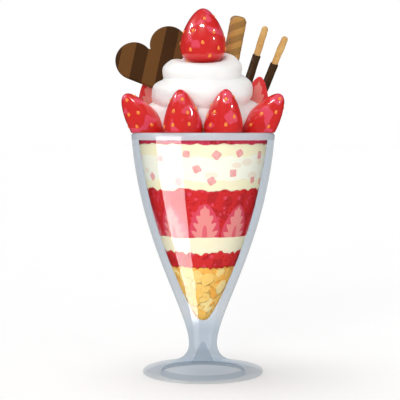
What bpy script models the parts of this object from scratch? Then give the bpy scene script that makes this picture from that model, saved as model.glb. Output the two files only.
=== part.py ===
"""A strawberry parfait in a footed glass, at real size, in metres, +Z up.

The origin is on the table, on the glass's axis, and the parfait's front faces -Y. Angles round the glass
are in degrees and count from the front towards +X. From the foot up the glass holds cornflakes, strawberry
sauce, cream, halved strawberries in sauce, ice cream with strawberry dice, and sauce again. On that stand
the whipped cream, the strawberries round it, a chocolate heart, a wafer roll and two dipped biscuit sticks.
"""

import math
import random

import bmesh
import bpy
from mathutils import Euler, Matrix, Vector

MM = 0.001
GAP = 0.3 * MM
SEGMENTS = 32

# The glass: a bowl that narrows into a hollow-footed stem.
GLASS_HEIGHT = 152 * MM
RIM_RADIUS = 45 * MM
RIM_WALL = 4.4 * MM
LIP_RADIUS = 1.8 * MM
STEM_RADIUS = 8.9 * MM
STEM_HEIGHT = 19 * MM
BOWL_BOTTOM = 34 * MM
BOWL_BOTTOM_RADIUS = 4 * MM
FOOT_RADIUS = 38 * MM
FOOT_EDGE = 1.55 * MM
DISH_RADIUS = 27 * MM
DISH_HEIGHT = 4 * MM
KICK_RADIUS = 6.6 * MM
KICK_START = 7.5 * MM
KICK_TIP_RADIUS = 1.2 * MM
KICK_HEIGHT = 20 * MM

# Where each layer of the filling ends, up the middle of the glass.
FLAKES_TOP = 69 * MM
LOW_SAUCE_TOP = 78.5 * MM
CREAM_TOP = 88 * MM
BERRY_SAUCE_TOP = 117.5 * MM
ICE_CREAM_TOP = 145.2 * MM
TOP_SAUCE_TOP = 149.4 * MM
WAVE = 0.7 * MM

FLAKE_RADIUS = 4.9 * MM
FLAKE_THICKNESS = 1.1 * MM
FLAKE_SPACING = 10.4 * MM
FLAKE_ROWS = 5
FLAKE_SET_BACK = 1.6 * MM
FLAKE_CLEARANCE = 0.6 * MM
HEAP_SET_BACK = 2.1 * MM

DIE = 4.4 * MM
DICE_SET_BACK = 0.9 * MM
# The dice that show from the front, as angle and height.
FRONT_DICE = (
    (-57, 125.6 * MM),
    (-42, 136.8 * MM),
    (-24, 123.1 * MM),
    (-15, 139.4 * MM),
    (-6, 130.4 * MM),
    (8, 123.2 * MM),
    (12, 138.8 * MM),
    (29, 127.9 * MM),
    (34, 139.9 * MM),
    (56, 123.2 * MM),
    (62, 138.5 * MM),
)
# The rows of dice round the back, and the stretch of angles that they take.
BACK_DICE_ROWS = (123.5 * MM, 131 * MM, 138.5 * MM)
BACK_DICE_PER_ROW = 7
BACK_DICE = (80, 278)

# Strawberries: the length from the hull end to the tip, and the largest radius.
TOP_BERRY = (36 * MM, 14.3 * MM)
FRONT_BERRY = (34 * MM, 11.8 * MM)
SIDE_BERRY = (36 * MM, 10.6 * MM)
SIDE_HALF = (38.5 * MM, 10 * MM)
BACK_HALF = (34 * MM, 11.4 * MM)
LAYER_BERRY = (25 * MM, 9.6 * MM)
LAYER_BERRY_ANGLES = (2, 42.5, 89, 135.5, 182, 228.5, 275, 321.5)

# Whole strawberries on the rim: angle, radius and height of the hull end, lean outwards, size.
RIM_BERRIES = (
    (-22.8, 30 * MM, 144.6 * MM, 10, FRONT_BERRY),
    (22.8, 30 * MM, 144.8 * MM, 10, FRONT_BERRY),
    (-77, 28 * MM, 146.1 * MM, 36, SIDE_BERRY),
    (77, 28 * MM, 146.1 * MM, 36, SIDE_BERRY),
)
# Halved ones: the place of the hull end, leans to +X and to the back, the angle the cut face looks, size.
HALF_BERRIES = (
    (Vector((-29.2, 5.2, 148.4)) * MM, -10, 10, 4, SIDE_HALF),
    (Vector((29.2, 4.4, 148.4)) * MM, 10, 1, -2, SIDE_HALF),
    (Vector((-13.5, 28.5, 145.6)) * MM, -4, 9, -25, BACK_HALF),
    (Vector((13.5, 28.5, 145.6)) * MM, 4, 9, 25, BACK_HALF),
)
TOP_BERRY_FOOT = Vector((0, -4.2, 193.2)) * MM

# The piped rope of cream, for the middle of each of its three turns: the height and the radius of its
# centre line, its own radius, and how far each metre towards the front lowers it.
CREAM_HEIGHTS = (160.9 * MM, 177.8 * MM, 190.8 * MM)
CREAM_RADII = (27.3 * MM, 22.8 * MM, 16.8 * MM)
CREAM_THICKNESS = (10.8 * MM, 9.1 * MM, 8.2 * MM)
CREAM_SAG = (0.02, 0.12, 0.25)
# How far the berries press the lowest turn inwards, and the angles from the front where that fades out.
CREAM_GIVE = 8.8 * MM
CREAM_GIVE_START = 58
CREAM_GIVE_END = 92

HEART_LOBE = 11.9 * MM
HEART_SPREAD = 12.1 * MM
HEART_POINT = 31.3 * MM
HEART_THICKNESS = 4.2 * MM
HEART_SOFT = 0.9 * MM
HEART_PLACE = Vector((-32.7, 10.5, 202.6)) * MM
HEART_TURN = 25.6
HEART_LEAN = 11

ROLL_RADIUS = 5.7 * MM
ROLL_BORE = 2.6 * MM
ROLL_SOFT = 2.4 * MM
ROLL_LENGTH = 56 * MM
ROLL_TOP = Vector((22.3, 13.5, 226)) * MM
ROLL_LEANS = (9.4, 2)

STICK_RADIUS = 2.2 * MM
COAT_RADIUS = 2.65 * MM
COAT_WALL = 0.45 * MM
COAT_EDGE = 0.6 * MM
# Where each stick's top is, its leans to +X and to the back, its length, and how much of it is bare.
STICKS = (
    (Vector((40.3, 20, 220.2)) * MM, 17.5, 2, 70 * MM, 19.5 * MM),
    (Vector((53, 19, 213.6)) * MM, 22.2, 1.5, 65 * MM, 19 * MM),
)

STRAWBERRY = ((0.72, 0.03, 0.03), 0.25)
SAUCE = ((0.62, 0.02, 0.02), 0.2)


# Making and placing pieces


def finish(colour, roughness, transmission=0.0):
    """A Principled material for the one piece that takes it."""
    material = bpy.data.materials.new("finish")
    material.use_nodes = True
    shader = material.node_tree.nodes["Principled BSDF"]
    shader.inputs["Base Color"].default_value = (*colour, 1)
    shader.inputs["Roughness"].default_value = roughness
    shader.inputs["Metallic"].default_value = 0
    shader.inputs["Transmission Weight"].default_value = transmission
    return material


def solid(name, shape, material=None):
    """An object holding this bmesh, with its faces turned outwards and its round parts smooth."""
    bmesh.ops.recalc_face_normals(shape, faces=shape.faces)
    mesh = bpy.data.meshes.new(name)
    shape.to_mesh(mesh)
    shape.free()
    mesh.shade_smooth()
    mesh.set_sharp_from_angle(angle=math.radians(40))
    if material:
        mesh.materials.append(material)
    obj = bpy.data.objects.new(name, mesh)
    bpy.context.scene.collection.objects.link(obj)
    return obj


def put(obj, place, tilt_x=0.0, tilt_y=0.0, turn=0.0):
    """Turns the piece about X, Y and Z in that order, in degrees, and moves it, all within its mesh."""
    turned_by = Euler([math.radians(angle) for angle in (tilt_x, tilt_y, turn)])
    obj.data.transform(Matrix.Translation(place) @ turned_by.to_matrix().to_4x4())
    return obj


def lean(obj, place, aside, back):
    """Leans an upright piece towards +X and to the back, in degrees, and moves it."""
    return put(obj, place, -back, aside)


def boolean(target, operation, tools, solver="EXACT", overlapping=False):
    """Applies one Boolean with a collection of tools, and removes the tools."""
    group = bpy.data.collections.new("tools")
    bpy.context.scene.collection.children.link(group)
    for tool in tools:
        bpy.context.scene.collection.objects.unlink(tool)
        group.objects.link(tool)
    modifier = target.modifiers.new("shape", "BOOLEAN")
    modifier.operation = operation
    modifier.operand_type = "COLLECTION"
    modifier.collection = group
    modifier.solver = solver
    modifier.use_self = overlapping
    shaped = target.evaluated_get(bpy.context.evaluated_depsgraph_get())
    made = bpy.data.meshes.new_from_object(shaped)
    target.modifiers.clear()
    target.data = made
    for tool in list(group.objects):
        bpy.data.objects.remove(tool)
    bpy.data.collections.remove(group)


def drop_scraps(obj):
    """Keeps the largest of the pieces that a cut has left of an object."""
    shape = bmesh.new()
    shape.from_mesh(obj.data)
    seen = set()
    pieces = []
    for first in shape.verts:
        if first in seen:
            continue
        piece = [first]
        seen.add(first)
        for point in piece:
            for edge in point.link_edges:
                beside = edge.other_vert(point)
                if beside not in seen:
                    seen.add(beside)
                    piece.append(beside)
        pieces.append(piece)
    for scrap in sorted(pieces, key=len)[:-1]:
        bmesh.ops.delete(shape, geom=scrap, context="VERTS")
    shape.to_mesh(obj.data)
    shape.free()


def at_angle(angle, radius, height):
    """The point at this angle from the front, this far from the axis and this high."""
    turn = math.radians(angle)
    return Vector((radius * math.sin(turn), -radius * math.cos(turn), height))


def circle(radius, height, count=SEGMENTS):
    return [at_angle(360 * i / count, radius, height) for i in range(count)]


def bezier(start, pull, push, end, steps):
    """Points (radius, height) along a cubic curve, without its end."""
    points = []
    for step in range(steps):
        t = step / steps
        weights = ((1 - t) ** 3, 3 * t * (1 - t) ** 2, 3 * t * t * (1 - t), t**3)
        corners = zip(weights, (start, pull, push, end))
        points.append(tuple(sum((w * Vector(corner) for w, corner in corners), Vector((0, 0)))))
    return points


def arc(centre, radius, first, last, steps):
    """Points on a circle from one angle to the other, both included."""
    turns = [math.radians(first + (last - first) * step / steps) for step in range(steps + 1)]
    return [(centre[0] + radius * math.cos(a), centre[1] + radius * math.sin(a)) for a in turns]


def lofted(name, rings, material=None, closed=False):
    """A solid through rings of points: the first and last are single points, or the last joins the first.

    On a narrowing and on a widening stretch the diagonals run alike, so two surfaces of the same outline,
    one above the other, stay the same distance apart.
    """
    shape = bmesh.new()
    rows = [[shape.verts.new(point) for point in ring] for ring in rings]
    if closed:
        rows.append(rows[0])
    for here, there in zip(rows, rows[1:]):
        count = max(len(here), len(there))
        narrows = here[0].co.xy.length > there[0].co.xy.length
        for i in range(count):
            j = (i + 1) % count
            if len(here) == 1:
                shape.faces.new((here[0], there[j], there[i]))
            elif len(there) == 1:
                shape.faces.new((here[i], here[j], there[0]))
            elif narrows:
                shape.faces.new((here[i], here[j], there[i]))
                shape.faces.new((here[j], there[j], there[i]))
            else:
                shape.faces.new((here[i], here[j], there[j]))
                shape.faces.new((here[i], there[j], there[i]))
    return solid(name, shape, material)


def turned(name, profile, material=None, count=SEGMENTS):
    """A solid turned about Z from (radius, height) points that begin and end on the axis."""
    rings = []
    for radius, height in profile:
        rings.append(circle(radius, height, count) if radius else [Vector((0, 0, height))])
    return lofted(name, rings, material)


def cuboid(name, size, place, material=None):
    shape = bmesh.new()
    bmesh.ops.create_cube(shape, size=1)
    bmesh.ops.scale(shape, vec=size, verts=shape.verts)
    return put(solid(name, shape, material), place)


def below(height):
    """A wide block up to this height, to cut what stands on a level surface."""
    reach = 200 * MM
    return cuboid("below", (reach, reach, reach), (0, 0, height - reach / 2))


# The glass


def bowl_inside():
    """The bowl's inside, from the middle of its bottom up to the lip."""
    bottom = (BOWL_BOTTOM_RADIUS, BOWL_BOTTOM)
    lip = (RIM_RADIUS - RIM_WALL, GLASS_HEIGHT - LIP_RADIUS)
    side = bezier(lip, (37.5 * MM, 127 * MM), (31 * MM, 84 * MM), bottom, 7)
    return [(0, BOWL_BOTTOM - 0.8 * MM), bottom, *reversed(side)]


BOWL = bowl_inside()


def bowl_radius(height):
    """The radius of the bowl's inside at this height."""
    for (low_radius, low), (high_radius, high) in zip(BOWL, BOWL[1:]):
        if low <= height <= high:
            return low_radius + (high_radius - low_radius) * (height - low) / (high - low)
    return BOWL[-1][0]


def bowl_slant(low, high):
    """How far the bowl's wall leans outwards between two heights, in degrees."""
    return math.degrees(math.atan2(bowl_radius(high) - bowl_radius(low), high - low))


def glass_outside():
    """The outside from the lip down the bowl and stem to the foot's edge, and round it to the table."""
    lip = (RIM_RADIUS, GLASS_HEIGHT - LIP_RADIUS)
    stem = (STEM_RADIUS, STEM_HEIGHT)
    edge_centre = (FOOT_RADIUS - FOOT_EDGE, FOOT_EDGE)
    edge = arc(edge_centre, FOOT_EDGE, 75, -90, 3)
    bowl = bezier(lip, (39.75 * MM, 82 * MM), (STEM_RADIUS, 39 * MM), stem, 9)
    foot = bezier(stem, (STEM_RADIUS, 8 * MM), (20 * MM, 6 * MM), edge[0], 4)
    return bowl + foot + edge


def glass_underside():
    """The ring the foot stands on, the shallow dish inside it, and the hollow up into the stem."""
    dish = [(radius, DISH_HEIGHT * (1 - (radius / DISH_RADIUS) ** 2)) for radius in (DISH_RADIUS, 15 * MM)]
    tip = (KICK_TIP_RADIUS, KICK_HEIGHT - KICK_TIP_RADIUS)
    kick = bezier((KICK_RADIUS, KICK_START), (5.4 * MM, 11 * MM), (3 * MM, 15 * MM), tip, 2)
    return dish + kick + [tip, (0, KICK_HEIGHT)]


def make_glass():
    lip_height = GLASS_HEIGHT - LIP_RADIUS
    inner_lip = arc((RIM_RADIUS - RIM_WALL + LIP_RADIUS, lip_height), LIP_RADIUS, 180, 90, 2)[1:]
    outer_lip = arc((RIM_RADIUS - LIP_RADIUS, lip_height), LIP_RADIUS, 90, 0, 2)[:-1]
    profile = BOWL + inner_lip + outer_lip + glass_outside() + glass_underside()
    turned("glass", profile, finish((0.80, 0.85, 0.89), 0.03, transmission=0.9))


def lip_room():
    """The lip of the glass grown by the gap, a ring that notches what leans on it."""
    low = GLASS_HEIGHT - 22 * MM
    lip_height = GLASS_HEIGHT - LIP_RADIUS
    inner, outer = RIM_RADIUS - RIM_WALL + LIP_RADIUS, RIM_RADIUS - LIP_RADIUS
    grown = LIP_RADIUS + GAP
    section = [(inner - grown, low), (outer + grown, low)]
    section += arc((outer, lip_height), grown, 0, 90, 2)
    section += arc((inner, lip_height), grown, 90, 180, 2)
    return lofted("lip", [circle(*corner) for corner in section], closed=True)


# The layers


class Surface:
    """The surface between two layers: level in the middle, and uneven at the wall, where it shows."""

    def __init__(self, height, seed=0, wave=WAVE):
        chance = random.Random(seed)
        self.height = height
        self.waves = []
        for count in (2, 5, 7):
            self.waves.append((count, wave * chance.uniform(0.25, 0.5), chance.uniform(0, 6)))

    def at(self, spot):
        turn = math.atan2(spot.x, -spot.y)
        share = min(1, spot.xy.length / bowl_radius(self.height))
        return self.height + share**2 * sum(h * math.sin(n * turn + start) for n, h, start in self.waves)

    def rings(self, lift, inset):
        """Rings of points on the surface, from the middle out to this far inside the bowl."""
        made = [[Vector((0, 0, self.height + lift))]]
        for share in (0.45, 0.8, 1):
            ring = circle(share * (bowl_radius(self.height) - inset), self.height)
            for point in ring:
                level = self.at(point) + lift
                point.xy *= (bowl_radius(level) - inset) / (bowl_radius(self.height) - inset)
                point.z = level
            made.append(ring)
        return made


def layer(name, low, high, material=None, inset=GAP, steps=2):
    """What fills the bowl between two surfaces, out to this far inside its wall."""
    bottom = low.rings(GAP, inset)
    top = high.rings(0, inset)
    side = []
    for step in range(1, steps):
        ring = []
        for under, over in zip(bottom[-1], top[-1]):
            point = under.lerp(over, step / steps)
            point.xy *= (bowl_radius(point.z) - inset) / point.xy.length
            ring.append(point)
        side.append(ring)
    return lofted(name, bottom + side + top[::-1], material)


FLAKES_SURFACE = Surface(FLAKES_TOP, 3)
LOW_SAUCE_SURFACE = Surface(LOW_SAUCE_TOP, 5)
CREAM_SURFACE = Surface(CREAM_TOP, 7, WAVE / 2)
BERRY_SAUCE_SURFACE = Surface(BERRY_SAUCE_TOP, 11)
ICE_CREAM_SURFACE = Surface(ICE_CREAM_TOP, 13, WAVE / 2)
TOP_SAUCE_SURFACE = Surface(TOP_SAUCE_TOP, 0, 0)


def flake(chance, angle, radius, height, slant):
    """One cornflake: an uneven five-sided plate, bent along its length, that lies against the bowl."""
    shape = bmesh.new()
    bmesh.ops.create_circle(shape, cap_ends=True, cap_tris=True, segments=5, radius=FLAKE_RADIUS)
    curl = chance.uniform(0.15, 0.35)
    for point in shape.verts:
        point.co.xy *= chance.uniform(0.85, 1.15)
        point.co.y *= 0.85
        point.co.z = curl * point.co.x**2 / FLAKE_RADIUS
    turns = (chance.uniform(0, 180), 90 + slant + chance.uniform(-22, 22), chance.uniform(-18, 18), angle)
    spun, tipped, rolled, faced = (math.radians(turn) for turn in turns)
    place = Matrix.Translation(at_angle(angle, radius, height))
    turned_by = Euler((tipped, rolled, faced)).to_matrix() @ Matrix.Rotation(spun, 3, "Z")
    shape.transform(place @ turned_by.to_4x4())
    for point in shape.verts:
        highest = FLAKES_SURFACE.at(point.co) - FLAKE_THICKNESS
        point.co.z = max(BOWL_BOTTOM + FLAKE_CLEARANCE, min(point.co.z, highest))
        reach = bowl_radius(point.co.z) - FLAKE_CLEARANCE
        point.co.xy *= min(1, reach / point.co.xy.length)
    bmesh.ops.recalc_face_normals(shape, faces=shape.faces)
    inwards = sum(face.normal.dot(face.calc_center_median() * Vector((1, 1, 0))) for face in shape.faces)
    thickness = math.copysign(FLAKE_THICKNESS, inwards)
    bmesh.ops.solidify(shape, geom=shape.faces[:], thickness=thickness)
    return solid("flake", shape)


def make_cornflakes():
    """The heap at the bottom of the bowl: a core with flakes fused on."""
    chance = random.Random(23)
    bottom, top = BOWL_BOTTOM + 1 * MM, FLAKES_TOP - 1.5 * MM
    rings = [[Vector((0, 0, bottom))]]
    for share in (0.1, 0.4, 0.7, 0.95):
        height = bottom + share * (top - bottom)
        rings.append(circle(bowl_radius(height) - HEAP_SET_BACK, height, 16))
    rings.append([Vector((0, 0, top))])
    heap = lofted("cornflakes", rings, finish((0.93, 0.60, 0.16), 0.6))
    flakes = []
    for row in range(FLAKE_ROWS):
        height = bottom + 4 * MM + row * (top - bottom - 6 * MM) / (FLAKE_ROWS - 1)
        radius = bowl_radius(height) - FLAKE_SET_BACK
        slant = bowl_slant(height - 4 * MM, height + 4 * MM)
        count = max(2, round(2 * math.pi * radius / FLAKE_SPACING))
        for i in range(count):
            angle = 360 * (i + 0.5 * (row % 2)) / count + chance.uniform(-8, 8)
            flakes.append(flake(chance, angle, radius, height + chance.uniform(-1, 1) * MM, slant))
    boolean(heap, "UNION", flakes)
    drop_scraps(heap)


def berry(name, size, grow=0.0, material=None, peak=0.7, bluntness=(0.28, 0.45), around=14, rings=8,
          half=False):
    """A strawberry that stands on its hull end, or its back half behind a flat cut along X.

    It is widest at peak of its length from the tip, and the two values of bluntness shape the tip and the
    hull end: the lower, the blunter.
    """
    length, radius = size
    power = math.log(0.5) / math.log(peak)
    outline = []
    for ring in range(rings + 1):
        share = 0.5 - 0.5 * math.cos(math.pi * ring / rings)
        from_tip = 1 - share
        bulge = math.sin(math.pi * from_tip**power)
        height = share * (length + 2 * grow) - grow
        if bulge < 1e-6:
            outline.append([Vector((0, 0, height))])
            continue
        reach = (radius + grow) * bulge ** bluntness[0 if from_tip < peak else 1]
        outline.append(berry_ring(reach, height, around, half, -grow))
    return lofted(name, outline, material)


def berry_ring(reach, height, around, half, cut):
    """A slightly three-sided ring of points, whole, or behind the line y = cut."""
    ring = []
    for i in range(around + 1 if half else around):
        turn = (math.pi if half else 2 * math.pi) * i / around
        across = reach * (1 + 0.015 * math.sin(3 * turn) + 0.015 * math.sin(2 * turn + 1))
        ring.append(Vector((across * math.cos(turn), across * math.sin(turn), height)))
    if half:
        ring[0].y = cut
        ring[-1].y = cut
    return ring


def layer_berry(name, index, grow=0.0, material=None):
    """A strawberry centred on the bowl's wall, of which a cut along the wall leaves the inner half."""
    chance = random.Random(40 + index)
    angle = LAYER_BERRY_ANGLES[index] + chance.uniform(-1, 1)
    foot = CREAM_TOP - 3.5 * MM + chance.uniform(-0.7, 0.7) * MM
    body = berry(name, LAYER_BERRY, grow, material, around=12, rings=6)
    put(body, (0, 0, 0), bowl_slant(foot, foot + LAYER_BERRY[0]))
    return put(body, at_angle(angle, bowl_radius(foot), foot), turn=angle)


def make_berry_layer():
    """Halved strawberries with their cut faces against the glass, and the sauce between them."""
    sauce = layer("berry_sauce", CREAM_SURFACE, BERRY_SAUCE_SURFACE, finish(*SAUCE), steps=4)
    indices = range(len(LAYER_BERRY_ANGLES))
    for index in indices:
        half = layer_berry(f"layer_berry_{index + 1}", index, material=finish(*STRAWBERRY))
        boolean(half, "INTERSECT", [layer("room", CREAM_SURFACE, BERRY_SAUCE_SURFACE, steps=4)])
    boolean(sauce, "DIFFERENCE", [layer_berry("hollow", index, GAP) for index in indices])


def make_ice_cream():
    """Ice cream with dice of strawberry in it, which stand out a little towards the glass."""
    chance = random.Random(31)
    body = layer("ice_cream", BERRY_SAUCE_SURFACE, ICE_CREAM_SURFACE, finish((0.97, 0.93, 0.80), 0.5),
                 GAP + DICE_SET_BACK, 3)
    places = list(FRONT_DICE)
    first, last = BACK_DICE
    for row, middle in enumerate(BACK_DICE_ROWS):
        for i in range(BACK_DICE_PER_ROW):
            share = (i + 0.3 * row) / BACK_DICE_PER_ROW
            angle = first + (last - first) * share + chance.uniform(-5, 5)
            places.append((angle, middle + chance.uniform(-1.6, 1.6) * MM))
    dice = []
    for angle, height in places:
        side = DIE * chance.uniform(0.85, 1.15)
        die = cuboid("die", (side, side, side), (0, 0, 0))
        put(die, (0, 0, 0), *(chance.uniform(-30, 30) for _ in range(3)))
        put(die, at_angle(angle, bowl_radius(height) - DIE / 2, height), turn=angle)
        dice.append(die)
    boolean(body, "UNION", dice)
    room = layer("room", Surface(BERRY_SAUCE_TOP - 7 * MM, wave=0), TOP_SAUCE_SURFACE, steps=6)
    boolean(body, "INTERSECT", [room])
    drop_scraps(body)


def make_layers():
    make_cornflakes()
    layer("lower_sauce", FLAKES_SURFACE, LOW_SAUCE_SURFACE, finish(*SAUCE))
    layer("cream_layer", LOW_SAUCE_SURFACE, CREAM_SURFACE, finish((0.96, 0.88, 0.68), 0.5))
    make_berry_layer()
    make_ice_cream()
    layer("top_sauce", ICE_CREAM_SURFACE, TOP_SAUCE_SURFACE, finish(*SAUCE))


# What stands on top


def rim_berry(name, spec, grow=0.0, material=None):
    angle, radius, height, outward, size = spec
    body = put(berry(name, size, grow, material), (0, 0, 0), outward)
    return put(body, at_angle(angle, radius, height), turn=angle)


def half_berry(name, spec, grow=0.0, material=None):
    foot, aside, back, facing, size = spec
    body = berry(name, size, grow, material, around=9, rings=7, half=True)
    put(body, (0, 0, 0), turn=facing)
    return lean(body, foot, aside, back)


def top_berry(name, grow=0.0, material=None):
    body = berry(name, TOP_BERRY, grow, material, 0.667, (0.31, 0.49), 16, 9)
    return lean(body, TOP_BERRY_FOOT, 0, -1)


def make_berries():
    """The strawberries stand on the upper sauce, and the outer ones lean on the lip of the glass."""
    standing = [rim_berry(f"rim_berry_{i + 1}", spec, material=finish(*STRAWBERRY))
                for i, spec in enumerate(RIM_BERRIES)]
    standing += [half_berry(f"half_berry_{i + 1}", spec, material=finish(*STRAWBERRY))
                 for i, spec in enumerate(HALF_BERRIES)]
    for body in standing:
        boolean(body, "DIFFERENCE", [below(TOP_SAUCE_TOP + GAP), lip_room()])
    top_berry("top_berry", material=finish(*STRAWBERRY))


def per_turn(values, turn):
    """What lies between the values of two turns, carried on past the last one."""
    low = min(max(math.floor(turn), 0), len(values) - 2)
    return values[low] + (values[low + 1] - values[low]) * max(turn - low, 0)


def cream_give(angle):
    """How far the strawberries in front press the lowest turn of cream inwards."""
    away = abs((angle + 180) % 360 - 180)
    share = min(1, max(0, (CREAM_GIVE_END - away) / (CREAM_GIVE_END - CREAM_GIVE_START)))
    return CREAM_GIVE * share**2 * (3 - 2 * share)


def cream_rope(sides=8, steps=14):
    """The piped rope. It lies level in front, climbs at the back, and its tail turns in to the middle."""
    first, last = -0.5, 2.9
    count = round((last - first) * steps)
    rings = []
    for step in range(count + 1):
        t = first + (last - first) * step / count
        climb = min(t - math.sin(2 * math.pi * t) / (2 * math.pi), 2.1)
        tail = max(0, min(1, (t - 2.35) / 0.5))
        begun = min(1, (t - first) / 0.12 + 0.35)
        thick = per_turn(CREAM_THICKNESS, climb) * (1 - 0.3 * tail) * begun
        radius = per_turn(CREAM_RADII, climb) * (1 - 0.5 * tail)
        radius -= cream_give(360 * t) * max(0, 1 - climb)
        centre = at_angle(360 * t, radius, per_turn(CREAM_HEIGHTS, climb))
        centre.z += per_turn(CREAM_SAG, climb) * centre.y - CREAM_THICKNESS[0] * 0.6 * (1 - begun)
        outward = at_angle(360 * t, thick, 0)
        upward = Vector((0, 0, thick))
        turns = [2 * math.pi * i / sides for i in range(sides)]
        rings.append([centre + outward * math.cos(a) + upward * math.sin(a) for a in turns])
    start = [sum(rings[0], Vector((0, 0, 0))) / sides]
    end = [sum(rings[-1], Vector((0, 0, 0))) / sides]
    return lofted("rope", [start, *rings, end])


def make_whipped_cream():
    """The rope round a filled middle, hollowed for all that stands in it."""
    profile = [
        (0, 148 * MM),
        (23 * MM, 148 * MM),
        (23 * MM, 160 * MM),
        (21 * MM, 177 * MM),
        (15 * MM, 190 * MM),
        (0, 192 * MM),
    ]
    cream = turned("whipped_cream", profile, finish((0.97, 0.96, 0.94), 0.4), 16)
    boolean(cream, "UNION", [cream_rope()], overlapping=True)
    tools = [top_berry("hollow", GAP), heart("hollow", GAP), roll_room()]
    tools += [rim_berry("hollow", spec, GAP) for spec in RIM_BERRIES]
    tools += [half_berry("hollow", spec, GAP) for spec in HALF_BERRIES]
    tools += [stick_room(spec) for spec in STICKS]
    boolean(cream, "DIFFERENCE", tools)
    boolean(cream, "DIFFERENCE", [below(TOP_SAUCE_TOP + GAP)])
    drop_scraps(cream)


def heart(name, grow=0.0, material=None):
    """The chocolate heart, a plate with softened edges, stuck into the cream behind the top strawberry.

    Each side is an arc that runs from the notch round the lobe and on in a straight line to the point.
    """
    lobe = HEART_LOBE + grow
    down = math.hypot(HEART_SPREAD, HEART_POINT)
    side_end = math.degrees(math.asin(HEART_LOBE / down) + math.atan2(HEART_SPREAD, HEART_POINT))
    notch = math.degrees(math.acos((HEART_SPREAD - 0.4 * MM) / lobe))
    right = arc((HEART_SPREAD, 0), lobe, -side_end, 180 - notch, 12)
    left = [(-x, z) for x, z in reversed(right)]
    point = 1.5 * MM - grow - HEART_POINT
    tip = [(-1.6 * MM, point + 1.2 * MM), (0, point), (1.6 * MM, point + 1.2 * MM)]

    shape = bmesh.new()
    half = HEART_THICKNESS / 2 + grow
    face = shape.faces.new([shape.verts.new((x, -half, z)) for x, z in right + left + tip])
    raised = bmesh.ops.extrude_face_region(shape, geom=[face])["geom"]
    moved = [item for item in raised if isinstance(item, bmesh.types.BMVert)]
    bmesh.ops.translate(shape, vec=(0, 2 * half, 0), verts=moved)
    edges = [edge for edge in shape.edges if abs(edge.verts[0].co.y - edge.verts[1].co.y) < half]
    bmesh.ops.bevel(shape, geom=edges, offset=HEART_SOFT, segments=1, affect="EDGES")
    body = put(solid(name, shape, material), (0, 0, 0), tilt_y=-HEART_TURN)
    return lean(body, HEART_PLACE, 0, HEART_LEAN)


def room_round(radius, length, count):
    """An upright rod that hangs from the origin, grown by the gap round its side and below its end."""
    reach = radius + GAP
    end = -length - GAP
    return turned("room", [(0, end), (reach, end), (reach, 0), (0, 0)], count=count)


def roll_room():
    return lean(room_round(ROLL_RADIUS, ROLL_LENGTH, 20), ROLL_TOP, *ROLL_LEANS)


def make_wafer_roll():
    """A wafer rolled into a tube, open along its middle, with a rounded top."""
    section = [(ROLL_BORE, -ROLL_LENGTH), (ROLL_RADIUS, -ROLL_LENGTH)]
    section += arc((ROLL_RADIUS - ROLL_SOFT, -ROLL_SOFT), ROLL_SOFT, 0, 90, 3)
    section += [(ROLL_BORE, -ROLL_SOFT / 4)]
    rings = [circle(radius, height, 20) for radius, height in section]
    roll = lofted("wafer_roll", rings, finish((0.60, 0.42, 0.18), 0.6), closed=True)
    lean(roll, ROLL_TOP, *ROLL_LEANS)


def stick_room(spec):
    top, aside, back, length, _ = spec
    return lean(room_round(COAT_RADIUS, length, 12), top, aside, back)


def make_stick(index, spec):
    """A biscuit stick with a round top, and the shell of chocolate round its lower part."""
    top, aside, back, length, bare = spec
    inside = COAT_RADIUS - COAT_WALL
    slim = inside - GAP
    end = -length + COAT_WALL + GAP
    biscuit = [(0, end), (slim, end), (slim, -bare - GAP), (STICK_RADIUS, -bare - GAP)]
    biscuit += [*arc((0, -STICK_RADIUS), STICK_RADIUS, 0, 90, 3)[:-1], (0, 0)]
    stick = turned(f"biscuit_stick_{index}", biscuit, finish((0.75, 0.52, 0.26), 0.6), 12)
    lean(stick, top, aside, back)
    shell = [
        (0, -length),
        (COAT_RADIUS - COAT_EDGE, -length),
        (COAT_RADIUS, -length + COAT_EDGE),
        (COAT_RADIUS, -bare - COAT_EDGE - GAP),
        (inside, -bare - COAT_EDGE),
        (inside, -length + COAT_WALL),
        (0, -length + COAT_WALL),
    ]
    coat = turned(f"stick_coat_{index}", shell, finish((0.06, 0.03, 0.015), 0.3), 12)
    lean(coat, top, aside, back)


for leftover in list(bpy.data.objects):
    bpy.data.objects.remove(leftover)
make_glass()
make_layers()
make_whipped_cream()
make_berries()
heart("chocolate_heart", material=finish((0.13, 0.06, 0.025), 0.35))
make_wafer_roll()
for number, stick_spec in enumerate(STICKS):
    make_stick(number + 1, stick_spec)
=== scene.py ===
"""The looks of a strawberry parfait in its footed glass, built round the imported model.

Sizes here are in millimetres, angles in degrees, and angles round the glass count from its front, -Y,
towards +X. mesh_piece() brings the points to metres.
"""

import math
import random
from itertools import product

import bpy
import numpy as np
from mathutils import Euler, Matrix, Vector, noise


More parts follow.
